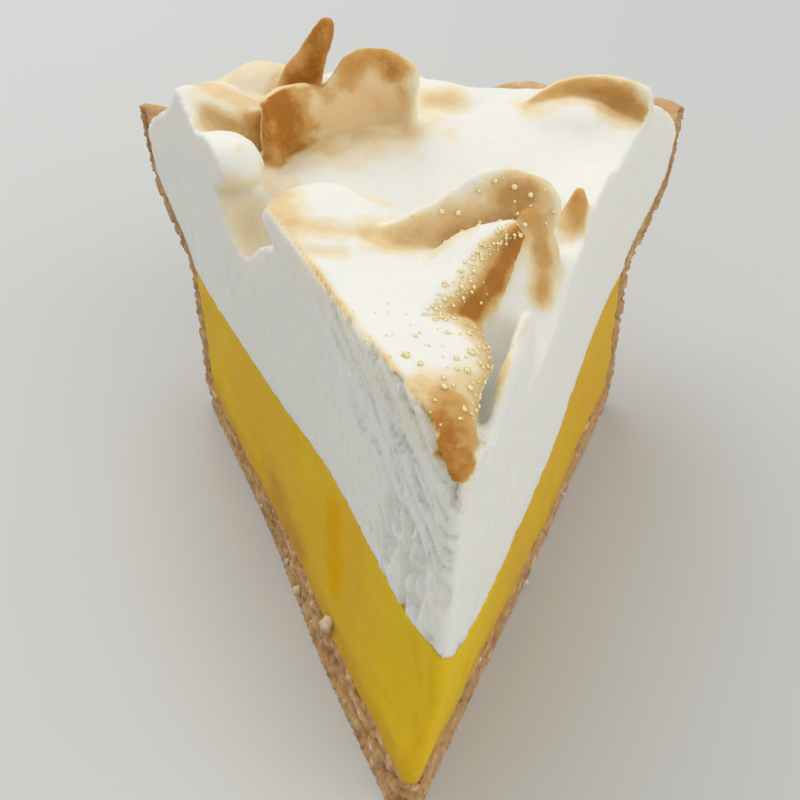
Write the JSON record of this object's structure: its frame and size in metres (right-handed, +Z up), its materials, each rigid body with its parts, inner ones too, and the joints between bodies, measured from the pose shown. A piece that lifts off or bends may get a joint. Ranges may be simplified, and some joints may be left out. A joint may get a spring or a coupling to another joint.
{
  "type": "slice of lemon meringue pie",
  "caption": "Wedge-shaped slice of pie: thin pastry case with a crimped rim, smooth lemon filling and a tall meringue topping with browned folds and peaks; stands on its flat base",
  "frame": {"origin": "on the surface that the slice stands on, under the middle of its bounding box", "axes": "+Z up; +Y from the point of the slice to its crimped rim; +X to the right when looking from the point to the rim"},
  "size_m": [0.0932, 0.1195, 0.0723],
  "materials": {
    "pastry": "baked shortcrust pastry, pale golden with browner edges, matt",
    "lemon_filling": "smooth set lemon filling, moist and slightly see-through",
    "meringue": "baked meringue, white inside, cream to deep tan where it browned"
  },
  "bodies": {
    "root": {"crust": "pastry", "filling": "lemon_filling", "meringue": "meringue"}
  },
  "joints": []
}
